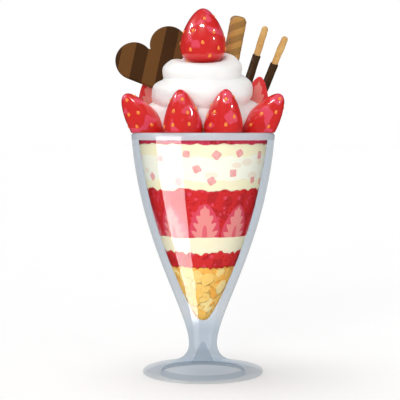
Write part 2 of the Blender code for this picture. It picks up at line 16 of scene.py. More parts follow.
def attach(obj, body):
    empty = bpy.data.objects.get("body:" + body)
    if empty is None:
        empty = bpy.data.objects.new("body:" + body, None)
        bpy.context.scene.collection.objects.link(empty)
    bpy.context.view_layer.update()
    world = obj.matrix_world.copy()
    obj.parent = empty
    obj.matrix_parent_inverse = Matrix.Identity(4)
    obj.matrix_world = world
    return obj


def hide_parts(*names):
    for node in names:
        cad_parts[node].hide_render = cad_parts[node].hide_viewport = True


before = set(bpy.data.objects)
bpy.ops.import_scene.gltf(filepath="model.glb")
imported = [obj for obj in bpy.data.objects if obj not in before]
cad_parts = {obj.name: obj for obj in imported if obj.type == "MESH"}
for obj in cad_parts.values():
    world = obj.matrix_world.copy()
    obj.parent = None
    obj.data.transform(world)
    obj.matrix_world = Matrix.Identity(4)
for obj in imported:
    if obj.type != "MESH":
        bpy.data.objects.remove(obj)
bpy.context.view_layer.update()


# The picture: taken level with the glass's rim from 0.79 m away with a long lens, tipped down a little. The
# parfait stands on a wide pale board, in soft light from a white sky and three broad suns, and three small
# lamps give the glints on the fruit.

MM = 0.001
PICTURE = 400
FOCAL_PIXELS = 1259
SENSOR = 36
EYE = (-1.9, -792, 152)
TIP_DOWN = 3.055

scene = bpy.context.scene
lens = bpy.data.cameras.new("camera")
lens.sensor_width = SENSOR
lens.lens = SENSOR * FOCAL_PIXELS / PICTURE
camera = bpy.data.objects.new("camera", lens)
camera.location = Vector(EYE) * MM
camera.rotation_euler = (math.radians(90 - TIP_DOWN), 0, 0)
scene.collection.objects.link(camera)
scene.camera = camera
scene.view_settings.view_transform = "Standard"


class Flow:
    """A socket in a finish's nodes. Sums on it add Math nodes, and make() adds any other node."""

    def __init__(self, tree, socket=None):
        self.tree = tree
        self.socket = socket

    def make(self, kind, settings=None, inputs=None, out=0):
        node = self.tree.nodes.new("ShaderNode" + kind)
        for name, value in (settings or {}).items():
            if name == "stops":
                marks = node.color_ramp.elements
                for stop, (place, colour) in enumerate(value):
                    mark = marks[stop] if stop < 2 else marks.new(place)
                    mark.position = place
                    mark.color = colour
            else:
                setattr(node, name, value)
        for name, value in (inputs or {}).items():
            if isinstance(value, Flow):
                self.tree.links.new(value.socket, node.inputs[name])
            else:
                node.inputs[name].default_value = value
        return Flow(self.tree, node.outputs[out] if node.outputs else None)

    def out(self, name):
        return Flow(self.tree, self.socket.node.outputs[name])

    def maths(self, operation, *values):
        return self.make("Math", {"operation": operation}, dict(enumerate(values)))

    def mix(self, factor, one, other):
        return self.make("Mix", {"data_type": "RGBA"}, {0: factor, 6: one, 7: other}, 2)

    def step(self, low, high):
        """0 below low, 1 above high, and smooth between."""
        settings = {"interpolation_type": "SMOOTHSTEP"}
        return self.make("MapRange", settings, {"Value": self, "From Min": low, "From Max": high})

    def scaled(self, factors):
        return self.make("VectorMath", {"operation": "MULTIPLY"}, {0: self, 1: factors})

    def part(self, axis):
        return self.make("SeparateXYZ", None, {0: self}).out(axis)

    def under(self, shader, share):
        """This shader with another over it, which takes this share."""
        return self.make("MixShader", None, {0: share, 1: self, 2: shader})

    def __add__(self, other):
        return self.maths("ADD", self, other)

    __radd__ = __add__

    def __sub__(self, other):
        return self.maths("SUBTRACT", self, other)

    def __rsub__(self, other):
        return self.maths("SUBTRACT", other, self)

    def __mul__(self, other):
        return self.maths("MULTIPLY", self, other)

    __rmul__ = __mul__

    def __truediv__(self, other):
        return self.maths("DIVIDE", self, other)

    def __rtruediv__(self, other):
        return self.maths("DIVIDE", other, self)

    def __pow__(self, other):
        return self.maths("POWER", self, other)

    def __abs__(self):
        return self.maths("ABSOLUTE", self)


def rgb(code):
    """A colour as the screen shows it, such as 0xFF8000, as the four values that a socket takes."""
    parts = [(code >> shift & 255) / 255 for shift in (16, 8, 0)]
    return (*[p / 12.92 if p <= 0.04045 else ((p + 0.055) / 1.055) ** 2.4 for p in parts], 1)


class Finish:
    """A material, the place on the piece in millimetres, and what its noise patterns read."""

    def __init__(self, name):
        self.material = bpy.data.materials.new(name)
        self.material.use_nodes = True
        self.material.node_tree.nodes.clear()
        start = Flow(self.material.node_tree)
        self.make, self.maths, self.mix = start.make, start.maths, start.mix
        self.place = self.make("TexCoord").out("Object").scaled((1 / MM, 1 / MM, 1 / MM))

    def pattern(self, kind, size, stretch, **inputs):
        share = tuple(1 / (size * s) for s in stretch)
        return self.make(kind, None, {"Vector": self.place.scaled(share), "Scale": 1, **inputs})

    def noise(self, size, detail=2, stretch=(1, 1, 1)):
        """Soft noise from 0 to 1 whose blobs are about this many millimetres wide."""
        return self.pattern("TexNoise", size, stretch, Detail=detail)

    def cells(self, size, stretch=(1, 1, 1)):
        """The distance from the nearest of scattered points, in shares of their spacing in millimetres."""
        return self.pattern("TexVoronoi", size, stretch)

    def stored(self, name, out="Fac"):
        """What store() keeps on the mesh under this name."""
        return self.make("Attribute", {"attribute_name": name}).out(out)

    def bump(self, height, depth):
        """The normal of a surface raised by height times this many millimetres."""
        return self.make("Bump", None, {"Height": height, "Strength": 1, "Distance": depth * MM})

    def close(self, **shaders):
        self.make("OutputMaterial", None, shaders)
        return self.material

    def body(self, tint, rough, **inputs):
        """A Principled shader as this material's surface. Underscores in names stand for spaces."""
        named = {name.replace("_", " "): value for name, value in inputs.items()}
        named |= {"Base Color": tint, "Roughness": rough}
        return self.close(Surface=self.make("BsdfPrincipled", None, named))


WHITE = (1, 1, 1, 1)


def board_finish():
    paint = Finish("pale_board")
    grain = paint.noise(40, 4)
    tint = paint.mix(grain, rgb(0xF6F6F6), rgb(0xFCFCFC))
    return paint.body(tint, 0.8 + 0.1 * grain, Specular_IOR_Level=0.0, Emission_Color=WHITE,
                      Emission_Strength=0.08)


def backdrop_finish():
    paint = Finish("white_backdrop")
    return paint.close(Surface=paint.make("Emission", None, {"Color": WHITE, "Strength": 1.0}))


def mesh_piece(name, points, faces, finishes, faces_of=None):
    """A mesh from points in millimetres. faces_of gives each face's finish, if there is more than one."""
    mesh = bpy.data.meshes.new(name)
    mesh.from_pydata([tuple(c * MM for c in point) for point in points], [], faces)
    mesh.update()
    mesh.shade_smooth()
    for finish in finishes:
        mesh.materials.append(finish)
    if faces_of is not None:
        mesh.polygons.foreach_set("material_index", faces_of)
    piece = bpy.data.objects.new(name, mesh)
    scene.collection.objects.link(piece)
    return piece


def stand_in(piece, node):
    """Puts a piece in the model's place."""
    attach(piece, "root")
    if node:
        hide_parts(node)


def ring_faces(rings):
    """Faces that join rings of points, given as point numbers. A ring of one point closes an end."""
    faces = []
    for here, there in zip(rings, rings[1:]):
        count = max(len(here), len(there))
        for i in range(count):
            j = (i + 1) % count
            corners = [here[i % len(here)], here[j % len(here)], there[j % len(there)], there[i % len(there)]]
            faces.append(tuple(dict.fromkeys(corners)))
    return faces


BOARD = 14000
BOARD_SIDES = 96
BACKDROP_FOOT = -10
around_board = [2 * math.pi * i / BOARD_SIDES for i in range(BOARD_SIDES)]
corners = [(BOARD * math.cos(turn), BOARD * math.sin(turn), 0) for turn in around_board]
board = mesh_piece("board", corners, [tuple(range(BOARD_SIDES))], [board_finish()])
board.visible_glossy = False

walls = [(x, y, height) for height in (BACKDROP_FOOT, BOARD) for x, y, _ in corners]
ceiling = tuple(range(BOARD_SIDES, 2 * BOARD_SIDES))
sides = ring_faces([range(BOARD_SIDES), ceiling])
backdrop = mesh_piece("backdrop", walls, [*sides, ceiling], [backdrop_finish()])
backdrop.visible_diffuse = backdrop.visible_glossy = backdrop.visible_shadow = False


def lamp(kind, name, place, aim, **settings):
    light = bpy.data.objects.new(name, bpy.data.lights.new(name, kind))
    for setting, value in settings.items():
        setattr(light.data, setting, value)
    light.location = Vector(place) * MM
    light.rotation_euler = (Vector(place) - Vector(aim)).to_track_quat("Z", "Y").to_euler()
    scene.collection.objects.link(light)
    return light


sky = bpy.data.worlds.new("studio")
scene.world = sky
sky.use_nodes = True
glow = sky.node_tree.nodes["Background"].inputs
glow["Color"].default_value = WHITE
glow["Strength"].default_value = 0.45
sky.cycles_visibility.glossy = False
MIDDLE = (0, 0, 130)
FRUIT = (0, 0, 190)
for name, place, energy, softness in (
    ("front_light", (-250, -900, 380), 0.95, 30),
    ("fill_light", (600, -800, 150), 0.45, 60),
    ("top_light", (-150, 100, 1200), 1.35, 50),
):
    sun = lamp("SUN", name, place, MIDDLE, energy=energy, angle=math.radians(softness))
    sun.visible_glossy = False
for name, place, wide, high, energy in (
    ("left_glint", (-760, 60, 810), 360, 100, 5),
    ("high_glint", (-80, -570, 1000), 400, 90, 5),
    ("right_glint", (820, -380, 600), 200, 60, 1.7),
):
    glint = lamp("AREA", name, place, FRUIT, energy=energy, shape="ELLIPSE", size=wide * MM, size_y=high * MM)
    glint.visible_diffuse = False


# The glass: one piece of clear pressed glass, turned about its axis, with a thick rounded lip, a bowl that
# narrows into a short solid stem, and a foot with a hollow under it. It looks grey-blue where it is thick.

GLASS_HEIGHT = 152
RIM_RADIUS = 45
RIM_WALL = 4.4
LIP_RADIUS = 1.8
BAND_BOTTOM = 147.5
LIP_HEIGHT = GLASS_HEIGHT - LIP_RADIUS
STEM_RADIUS = 8.9
STEM_MIDDLE = 19
FOOT_RADIUS = 38
FOOT_EDGE = 1.55
MILKY_BLUE = rgb(0xD7DCE4)
# Grey of the thick stem, also used as painted shade over the hollow under the foot.
STEM_GREY_AND_HOLLOW_SHADE = (0.72, 0.76, 0.80, 1)
# Painted shade for the glass where it is seen edge-on.
EDGE_SHADE = (0.22, 0.25, 0.28, 1)
DEEP_BLUE = (0.0, 0.3, 0.6, 1)
AROUND = 192


def curve(start, pull, push, end, steps):
    """Points along a cubic curve, both ends included."""
    t = np.linspace(0, 1, steps + 1)[:, None]
    start, pull, push, end = (np.array(point, float) for point in (start, pull, push, end))
    return (1 - t) ** 3 * start + 3 * t * (1 - t) ** 2 * pull + 3 * t * t * (1 - t) * push + t**3 * end


def arc(centre, radius, first, last, steps):
    turn = np.radians(np.linspace(first, last, steps + 1))
    return np.stack([centre[0] + radius * np.cos(turn), centre[1] + radius * np.sin(turn)], 1)


BOWL_BOTTOM = arc((0, 39.2), 6, -90, -30, 10)
BOWL_SIDE = curve((4, 34), (31, 84), (37.5, 127), (RIM_RADIUS - RIM_WALL, LIP_HEIGHT), 60)
BOWL = np.concatenate([BOWL_BOTTOM, BOWL_SIDE[2:]])
OUTSIDE = curve((RIM_RADIUS, LIP_HEIGHT), (39.75, 82), (STEM_RADIUS, 39), (STEM_RADIUS, STEM_MIDDLE), 60)


def bowl_radius(height):
    return float(np.interp(height, BOWL[:, 1], BOWL[:, 0]))


def at_angle(angle, radius, height):
    turn = math.radians(angle)
    return Vector((radius * math.sin(turn), -radius * math.cos(turn), height))


def ringed(rings):
    """The points and faces of a solid, from the rings of points along it."""
    points, numbers = [], []
    for ring in rings:
        numbers.append(list(range(len(points), len(points) + len(ring))))
        points.extend(ring)
    return points, ring_faces(numbers)


def turned(profile, around):
    rings = []
    for radius, height in profile:
        count = around if radius > 1e-6 else 1
        rings.append([at_angle(360 * i / around, radius, height) for i in range(count)])
    return ringed(rings)


def store(piece, name, values, domain="POINT"):
    """Keeps a number or a vector for each point or face of a piece, for its finish to read."""
    kind, field = ("FLOAT_VECTOR", "vector") if np.ndim(values) > 1 else ("FLOAT", "value")
    piece.data.attributes.new(name, kind, domain).data.foreach_set(field, np.ravel(values))


def glass_finish():
    """Clear and polished outside, cloudy at the lip, and grey in the thick stem, with painted shade over the
    hollow under the foot and along its grazing edges.
    """
    paint = Finish("pressed_glass")
    outside = paint.stored("outside")
    hollow = paint.stored("hollow")
    height = paint.place.part("Z")
    stem = height.step(3, 12) * (1 - height.step(26, 42))
    foot = 1 - height.step(3, 8)
    # Painted shade: ring and kick mark the dish's wall and the kick in the hollow under the foot. deep
    # darkens the whole hollow, and these most, and it also greys the thick stem and foot.
    ring = 1 - height.step(2.9, 3.2)
    kick_shade = height.step(6.5, 7.5)
    deep = (0.85 * stem + 0.15 * foot) * outside + (0.15 + 0.75 * ring + 0.35 * kick_shade) * hollow
    clear, grey_and_hollow_shade, edge_shade = (
        paint.make("BsdfTransparent", None, {"Color": colour}) for colour in (WHITE, STEM_GREY_AND_HOLLOW_SHADE, EDGE_SHADE)
    )
    cloud = paint.noise(30, 2)
    lip = height.step(BAND_BOTTOM - 0.2, BAND_BOTTOM + 0.2) * (0.78 + 0.1 * cloud)
    milk = paint.make("BsdfDiffuse", None, {"Color": MILKY_BLUE})
    gloss = paint.make("BsdfGlossy", None, {"Roughness": 0.03, "Normal": paint.bump(cloud, 0.15)})
    grazing = paint.make("Fresnel", None, {"IOR": 1.45})
    # Painted shade: a dark see-through layer darkens the outside of the glass where it is seen edge-on, less
    # in the stem and foot.
    edge = paint.maths("MINIMUM", grazing, 0.25) * outside * (0.4 + 0.6 * height.step(28, 42))
    shine = paint.maths("MINIMUM", grazing, 0.05) * outside * (0.15 + 0.85 * height.step(30, 38))
    surface = clear.under(grey_and_hollow_shade, deep).under(milk, lip).under(edge_shade, edge).under(gloss, shine)
    body = paint.make("VolumeAbsorption", None, {"Color": DEEP_BLUE, "Density": 8.5})
    return paint.close(Surface=surface, Volume=body)


def make_glass():
    inner_lip = arc((RIM_RADIUS - RIM_WALL + LIP_RADIUS, LIP_HEIGHT), LIP_RADIUS, 180, 90, 8)[1:]
    outer_lip = arc((RIM_RADIUS - LIP_RADIUS, LIP_HEIGHT), LIP_RADIUS, 90, 0, 8)
    edge = arc((FOOT_RADIUS - FOOT_EDGE, FOOT_EDGE), FOOT_EDGE, 75, -90, 12)
    foot = curve((STEM_RADIUS, STEM_MIDDLE), (STEM_RADIUS, 8), (20, 6), edge[0], 36)[1:]
    dish = [(27, 0), (26.6, 0.9), (26.1, 1.9), (25.5, 2.8), (24.6, 3.3), (22, 3.5), (15, 3.7), (10, 4.4)]
    hollow = curve((6.6, 7.5), (5.4, 11), (3, 15), (1.2, 19), 16)
    above = [BOWL, inner_lip, outer_lip, OUTSIDE[1:], foot, edge[1:]]
    profile = np.concatenate([*above, dish, hollow, [(0, 20)]])
    points, faces = turned(profile[::-1], AROUND)
    glass = mesh_piece("parfait_glass", points, faces, [glass_finish()])
    rows = len(profile) - 1
    under = len(dish) + len(hollow)
    for name, first, last in (("hollow", 0, under), ("outside", under + 1, rows - len(BOWL) + 1)):
        store(glass, name, [float(first <= row < last) for row in range(rows) for _ in range(AROUND)], "FACE")
    stand_in(glass, "glass")
    return glass


# A tall narrow window lights the glass alone, for the long white reflection down its left side, and a low
# soft light the layers in it, as much as the glass takes from them.

glass_alone = bpy.data.collections.new("glass_alone")
glass_alone.objects.link(make_glass())
window = lamp("AREA", "window", (-500, -335, -400), (0, 0, -400), energy=24, shape="RECTANGLE", size=0.5,
              size_y=1.1)
window.light_linking.receiver_collection = glass_alone
window.light_linking.blocker_collection = bpy.data.collections.new("nothing_in_the_way")
window.visible_diffuse = False
layers = bpy.data.collections.new("layers")
layer_light = lamp("SUN", "layer_light", (-150, -900, 60), (0, 0, 110), energy=3.6, angle=math.radians(110))
layer_light.visible_glossy = False
layer_light.light_linking.receiver_collection = layers


# Cornflakes: the dry crunchy bottom layer, golden flakes about 10 mm wide poured loose into the point of
# the bowl. They are bent and blistered, and lie flat where they press on the glass.

REACH = 0.2
FLAKE_RADIUS = 4.9
FLAKE_THICKNESS = 0.9
FLAKE_CORNERS = 7
FLAKES = 150
HEAP_FOOT = 33.4
LOWEST_FLAKE = 37
HIGHEST_FLAKE = 66.5
SCALLOP_MEAN = 0.64


class Surface:
    """The surface between two layers: level in the middle, uneven and scalloped at the wall."""

    def __init__(self, height, seed=0, wave=0.7, scallop=0.0):
        draw = random.Random(seed).uniform
        self.height = height
        self.waves = [(n, wave * draw(0.25, 0.5), draw(0, 6)) for n in (2, 5, 7)]
        self.scallops = [(n / 2, scallop * draw(0.4, 0.8), draw(0, 6)) for n in (9, 17, 31)]

    def at(self, spot):
        turn = math.atan2(spot.x, -spot.y)
        rise = sum(h * math.sin(n * turn + start) for n, h, start in self.waves)
        rise += sum(h * (abs(math.sin(n * turn + start)) - SCALLOP_MEAN) for n, h, start in self.scallops)
        share = min(1, spot.xy.length / bowl_radius(self.height))
        return self.height + share**2 * rise

    def ring(self, share, around, drop=0.0):
        """Points on the surface, this share of the way out to the wall, where they reach just into it."""
        ring = []
        for i in range(around):
            point = at_angle(360 * i / around, share * bowl_radius(self.height), self.height)
            point.z = self.at(point) - drop
            point.xy *= (bowl_radius(point.z) + REACH) / bowl_radius(self.height)
            ring.append(point)
        return ring


FLAKES_TOP = Surface(69, 3, scallop=1.3)


def flake_finish():
    paint = Finish("cornflake")
    stops = [(0.0, rgb(0xFFB24A)), (0.35, rgb(0xFFC862)), (0.7, rgb(0xFFD47A)), (1.0, rgb(0xFFE59E))]
    tint = paint.make("ValToRGB", {"stops": stops}, {"Fac": paint.stored("tone")})
    toast = paint.noise(3.5, 3).step(0.55, 0.8)
    tint = paint.mix(toast * 0.5, tint, rgb(0xF5A93C))
    blister = paint.noise(1.6, 3)
    return paint.body(tint, 0.55 + 0.2 * blister, Normal=paint.bump(blister, 0.4),
                      Specular_IOR_Level=0.3)


def between(values, place):
    """The value at this place in a list, in a straight line between its neighbours."""
    low = min(max(math.floor(place), 0), len(values) - 2)
    return values[low] + (values[low + 1] - values[low]) * max(place - low, 0)


def turning(*angles):
    """Turns about X, Y and Z."""
    return Euler([math.radians(angle) for angle in angles]).to_matrix()


def turning_on(axis, angle):
    return Matrix.Rotation(math.radians(angle), 4, axis)


def in_bowl(point, reach=REACH):
    """Brings a point that is past the bowl's wall back to where it is this far into it."""
    limit = bowl_radius(point.z) + reach
    if point.xy.length > limit:
        point.xy *= limit / point.xy.length
    return point


def add_part(points, faces, more, sides):
    """Adds one more solid to the points and faces of a piece."""
    first = len(points)
    points += more
    faces += [tuple(first + i for i in side) for side in sides]


def flake(chance, points, faces, tones, size, place):
    """Adds one flake, a bent and wrinkled plate with an uneven edge, to the lists of the heap."""
    edge = [chance.uniform(0.82, 1.12) for _ in range(FLAKE_CORNERS)]
    curl = chance.uniform(0.1, 0.3)
    seed = Vector([chance.uniform(0, 99) for _ in range(3)])
    around = 18
    sides = []
    for lift in (0, -FLAKE_THICKNESS):
        rows = [[Vector((0, 0, lift))]]
        for share in (0.45, 0.8, 1):
            row = []
            for i in range(around):
                turn = 2 * math.pi * i / around
                reach = size * share * between([*edge, edge[0]], FLAKE_CORNERS * i / around)
                point = Vector((reach * math.cos(turn), 0.85 * reach * math.sin(turn), 0))
                wrinkle = noise.noise(point * 0.4 + seed)
                point.z = curl * point.x**2 / size + 0.7 * wrinkle + lift * (0.55 if share == 1 else 1)
                row.append(point)
            rows.append(row)
        sides.append(rows)
    made, joined = ringed([*sides[0], *sides[1][::-1]])
    tones += [chance.random()] * len(made)
    reach = REACH - chance.uniform(0, 0.6)
    made = [place @ point for point in made]
    for point in made:
        point.z = min(point.z, FLAKES_TOP.at(point) - 0.1)
    add_part(points, faces, [in_bowl(point, reach) for point in made], [side[::-1] for side in joined])


def make_cornflakes():
    chance = random.Random(8)
    rings = [[Vector((0, 0, HEAP_FOOT))]]
    for share in np.linspace(0.02, 1, 24):
        ring = []
        for top in FLAKES_TOP.ring(1, 72, 0.15):
            height = HEAP_FOOT + share * (top.z - HEAP_FOOT)
            ring.append(Vector((*(top.xy.normalized() * max(0.1, bowl_radius(height) - 0.7)), height)))
        rings.append(ring)
    rings.append([Vector((0, 0, FLAKES_TOP.height - 1))])
    points, faces = ringed(rings)
    tones = [0.25] * len(points)
    for i in range(FLAKES):
        share = ((i + 0.5) / FLAKES) ** 0.6
        height = LOWEST_FLAKE + share * (HIGHEST_FLAKE - LOWEST_FLAKE)
        angle = i * 137.5 + chance.uniform(-12, 12)
        radius = bowl_radius(height) + chance.uniform(-0.8, 0.5)
        size = FLAKE_RADIUS * chance.uniform(0.75, 1.1) * min(1, 0.5 + radius / 16)
        slant = math.degrees(math.atan((bowl_radius(height + 3) - bowl_radius(height - 3)) / 6))
        spin = turning_on("Z", chance.uniform(0, 360))
        tilt = turning(90 + slant + chance.uniform(-16, 16), chance.uniform(-14, 14), angle).to_4x4()
        place = Matrix.Translation(at_angle(angle, radius, height)) @ tilt @ spin
        flake(chance, points, faces, tones, size, place)
    heap = mesh_piece("cornflake_heap", points, faces, [flake_finish()])
    store(heap, "tone", tones)
    layers.objects.link(heap)
    stand_in(heap, "cornflakes")


make_cornflakes()


# Strawberry sauce: crushed strawberries cooked down to a thick glossy jam, spooned on the flakes. It is
# translucent red with paler bits of fruit and a few darker clots.

LOW_SAUCE_TOP = Surface(78.5, 5, scallop=1.5)
LAYER_AROUND = 288


def sauce_finish(name, red):
    paint = Finish(name)
    shade = paint.cells(6.5).out("Color").part("X")
    tint = paint.mix((1 - shade.step(0.2, 0.24)) * 0.75, rgb(red), rgb(0xBE1E22))
    bits = 1 - paint.cells(4.8).step(0.24, 0.3)
    tint = paint.mix(bits * 0.75, tint, rgb(0xE84A62))
    pulp = paint.noise(2.2, 3)
    return paint.body(tint, 0.2 + 0.2 * pulp, Normal=paint.bump(pulp, 0.25),
                      Coat_Weight=0.3, Coat_Roughness=0.1)


def layer_piece(name, low, high, finish, rows, node):
    """What fills the bowl between two surfaces, out to where it reaches just into the wall."""
    inner = (0.3, 0.6, 0.8, 0.92)
    under, over = low.ring(1, LAYER_AROUND, 0.05), high.ring(1, LAYER_AROUND)
    rings = [[Vector((0, 0, low.height - 0.05))]]
    rings += [low.ring(share, LAYER_AROUND, 0.05) for share in inner]
    for row in range(rows + 1):
        rings.append([bottom.lerp(top, row / rows) for bottom, top in zip(under, over)])
        for point in rings[-1]:
            point.xy *= (bowl_radius(point.z) + REACH) / point.xy.length
    rings += [high.ring(share, LAYER_AROUND) for share in inner[::-1]]
    rings.append([Vector((0, 0, high.height))])
    points, faces = ringed(rings)
    piece = mesh_piece(name, points, faces, [finish])
    layers.objects.link(piece)
    stand_in(piece, node)


layer_piece("sauce_on_flakes", FLAKES_TOP, LOW_SAUCE_TOP, sauce_finish("jam", 0xDD2A2A), 12,
            "lower_sauce")


# Cream: a smooth pale yellow layer of lightly whipped cream, spread level on the sauce. Only its edge at
# the glass is a little uneven.

CREAM_TOP = Surface(88, 7, 0.5, scallop=0.4)


def cream_finish():
    paint = Finish("yellow_cream")
    streak = paint.noise(9, 3, stretch=(1, 1, 0.35))
    tint = paint.mix(streak, rgb(0xFFEEC2), rgb(0xFFF5D8))
    fine = paint.noise(1.2, 3)
    return paint.body(tint, 0.4 + 0.15 * fine, Normal=paint.bump(fine, 0.12),
                      Subsurface_Weight=0.2, Subsurface_Radius=(0.003, 0.002, 0.001))


layer_piece("cream_spread", LOW_SAUCE_TOP, CREAM_TOP, cream_finish(), 10, "cream_layer")


# Strawberries in sauce: halved strawberries stand in a ring with their cut faces against the glass, points
# up, and the same sauce is poured over them.

BERRY_SAUCE_TOP = Surface(117.5, 11, scallop=1.8)
LAYER_BERRY = (25, 9.6)
LAYER_BERRY_ANGLES = (2, 42.5, 89, 135.5, 182, 228.5, 275, 321.5)
CUT_REACH = 0.32


def bulge(from_tip, peak):
    """How wide a strawberry is at this share of its length from the tip, before its ends are shaped."""
    power = math.log(0.5) / math.log(peak)
    return max(0, math.sin(math.pi * from_tip**power))


def berry_reach(share, size, peak=0.7, bluntness=(0.28, 0.45)):
    """A strawberry's radius at this share of its length from the hull end."""
    from_tip = 1 - share
    return size[1] * bulge(from_tip, peak) ** bluntness[0 if from_tip < peak else 1]


def cut_finish(name, rim, flesh, core, top, lobes, start):
    """A cut face: a red rim, paler flesh that runs out in lobes towards the seeds, and a pink middle."""
    paint = Finish(name)
    spot = paint.stored("on_berry", "Vector")
    across, along = abs(spot.part("X")), spot.part("Y") + 0.04 * (paint.noise(2.5, 2) - 0.5)
    phase = paint.maths("FRACT", (along - 0.15 * across) * lobes + start)
    lobe = phase.step(0, 0.8) * (1 - phase.step(0.86, 1))
    leaf = paint.maths("MAXIMUM", 1 - (along / top) ** 2.2, 0) ** 0.8
    inside = 1 - (across - 0.9 * leaf * (0.58 + 0.42 * lobe)).step(-0.03, 0.03)
    tint = paint.mix(inside, rgb(rim), rgb(flesh))
    middle = 1 - ((across / 0.17) ** 2 + (along / 0.46) ** 4).step(0.8, 1.1)
    tint = paint.mix(middle * inside, tint, rgb(core))
    wet = paint.noise(1.5, 3)
    return paint.body(tint, 0.3 + 0.2 * wet, Normal=paint.bump(wet, 0.2),
                      Subsurface_Weight=0.1, Subsurface_Radius=(0.002, 0.001, 0.001))


LAYER_CUT = cut_finish("cut_strawberry", 0xE4465C, 0xF2918A, 0xEA6470, 0.95, 4.6, 10)


def make_layer_berries():
    """Each cut face follows the bowl's wall, and the strawberry's round back is in the sauce."""
    columns, rows = 32, 40
    for index, middle in enumerate(LAYER_BERRY_ANGLES):
        chance = random.Random(40 + index)
        angle = middle + chance.uniform(-1, 1)
        foot = CREAM_TOP.height - 3.5 + chance.uniform(-0.7, 0.7)
        slant = math.atan((bowl_radius(foot + LAYER_BERRY[0]) - bowl_radius(foot)) / LAYER_BERRY[0])
        rings, marks = [], []
        for row in range(rows + 1):
            share = 0.5 - 0.5 * math.cos(math.pi * row / rows)
            height = foot + share * LAYER_BERRY[0] * math.cos(slant)
            reach = berry_reach(share, LAYER_BERRY)
            radius = bowl_radius(height) + CUT_REACH
            ring = []
            for column in range(2 * columns):
                front = column <= columns
                u = -1 + 2 * column / columns if front else 3 - 2 * column / columns
                depth = 0 if front else reach * math.sqrt(max(0, 1 - u * u)) * 0.9
                point = at_angle(angle + math.degrees(u * reach / radius), radius - depth, height)
                cream = CREAM_TOP.at(point) - 0.05
                if height < cream:
                    point *= (bowl_radius(cream) + CUT_REACH - depth) / (radius - depth)
                    point.z = cream
                ring.append(point)
                marks.append((u * reach / LAYER_BERRY[1], share, 0))
            if row in (0, rows):
                ring, marks = ring[:1], marks[: 1 - len(ring)]
            rings.append(ring)
        points, faces = ringed(rings)
        cut = mesh_piece(f"cut_strawberry_{index + 1}", points, faces, [LAYER_CUT])
        store(cut, "on_berry", marks)
        layers.objects.link(cut)
        stand_in(cut, f"layer_berry_{index + 1}")


make_layer_berries()
layer_piece("sauce_round_strawberries", CREAM_TOP, BERRY_SAUCE_TOP,
            sauce_finish("deep_jam", 0xD92426), 26, "berry_sauce")


# Ice cream: soft vanilla with dice of fresh strawberry stirred in. It is yellower near the top and the
# bottom, and the dice press on the glass.

ICE_CREAM_TOP = Surface(145.2, 13, 0.35, scallop=-1.0)
DIE = 4.4
FRONT_DICE = (
    (-57, 125.6), (-42, 136.8), (-24, 123.1), (-15, 139.4), (-6, 130.4), (8, 123.2),
    (12, 138.8), (29, 127.9), (34, 139.9), (56, 123.2), (62, 138.5),
)
BACK_DICE_ROWS = (123.5, 131, 138.5)
BACK_DICE_PER_ROW = 7
BACK_DICE = (80, 278)


def ice_cream_finish():
    paint = Finish("ice_cream")
    sway = paint.noise(12, 2, stretch=(1, 1, 0.4)) - 0.5
    height = paint.place.part("Z") + 6 * sway
    edges = paint.maths("MAXIMUM", height.step(137.4, 138.4), 1 - height.step(122.6, 123.6))
    blotch = 1 - paint.cells(10.5, stretch=(1.2, 1.2, 0.6)).step(0.33, 0.37)
    tint = paint.mix(blotch * 0.8, rgb(0xFFFAE4), rgb(0xFAE6CC))
    tint = paint.mix(edges, tint, rgb(0xFFF3CA))
    icy = paint.noise(1.0, 3)
    return paint.body(tint, 0.4 + 0.2 * icy, Normal=paint.bump(icy, 0.2),
                      Subsurface_Weight=0.2, Subsurface_Radius=(0.003, 0.002, 0.001))


def dice_finish():
    paint = Finish("diced_strawberry")
    grain = paint.noise(1.8, 3)
    tint = paint.mix(grain.step(0.35, 0.65), rgb(0xF29F99), rgb(0xF6B4AD))
    return paint.body(tint, 0.25 + 0.2 * grain, Normal=paint.bump(grain, 0.2))


def soft_cube(side, corner, steps):
    """Points and faces of a cube with rounded edges, on a grid of this many steps a side."""
    points, faces, found = [], [], {}
    half = side / 2 - corner
    for axis, sign in product(range(3), (-1, 1)):
        grid = {}
        for i, j in product(range(steps + 1), repeat=2):
            spot = Vector((0, 0, 0))
            spot[axis] = sign * side / 2
            spot[(axis + 1) % 3] = side * (i / steps - 0.5)
            spot[(axis + 2) % 3] = side * (j / steps - 0.5)
            core = Vector([max(-half, min(half, c)) for c in spot])
            spot = core + corner * (spot - core).normalized()
            grid[i, j] = found.setdefault(tuple(round(c, 4) for c in spot), len(points))
            if grid[i, j] == len(points):
                points.append(spot)
        for i, j in product(range(steps), repeat=2):
            corners = (grid[i, j], grid[i + 1, j], grid[i + 1, j + 1], grid[i, j + 1])
            faces.append(corners if sign > 0 else corners[::-1])
    return points, faces


def make_dice():
    chance = random.Random(31)
    places = list(FRONT_DICE)
    first, last = BACK_DICE
    for (row, middle), i in product(enumerate(BACK_DICE_ROWS), range(BACK_DICE_PER_ROW)):
        share = (i + 0.3 * row) / BACK_DICE_PER_ROW
        angle = first + (last - first) * share + chance.uniform(-5, 5)
        places.append((angle, middle + chance.uniform(-1.6, 1.6)))
    points, faces = [], []
    for angle, height in places:
        side = DIE * chance.uniform(0.95, 1.2)
        cube, sides = soft_cube(side, 1.0, 6)
        tumble = turning(chance.uniform(-8, 8), chance.uniform(-40, 40), angle + chance.uniform(-8, 8))
        centre = at_angle(angle, bowl_radius(height) - side / 2 + 0.9, height)
        add_part(points, faces, [in_bowl(centre + tumble @ point, CUT_REACH) for point in cube], sides)
    dice = mesh_piece("strawberry_dice", points, faces, [dice_finish()])
    layers.objects.link(dice)
    stand_in(dice, None)


layer_piece("vanilla_ice_cream", BERRY_SAUCE_TOP, ICE_CREAM_TOP, ice_cream_finish(), 26, "ice_cream")
make_dice()


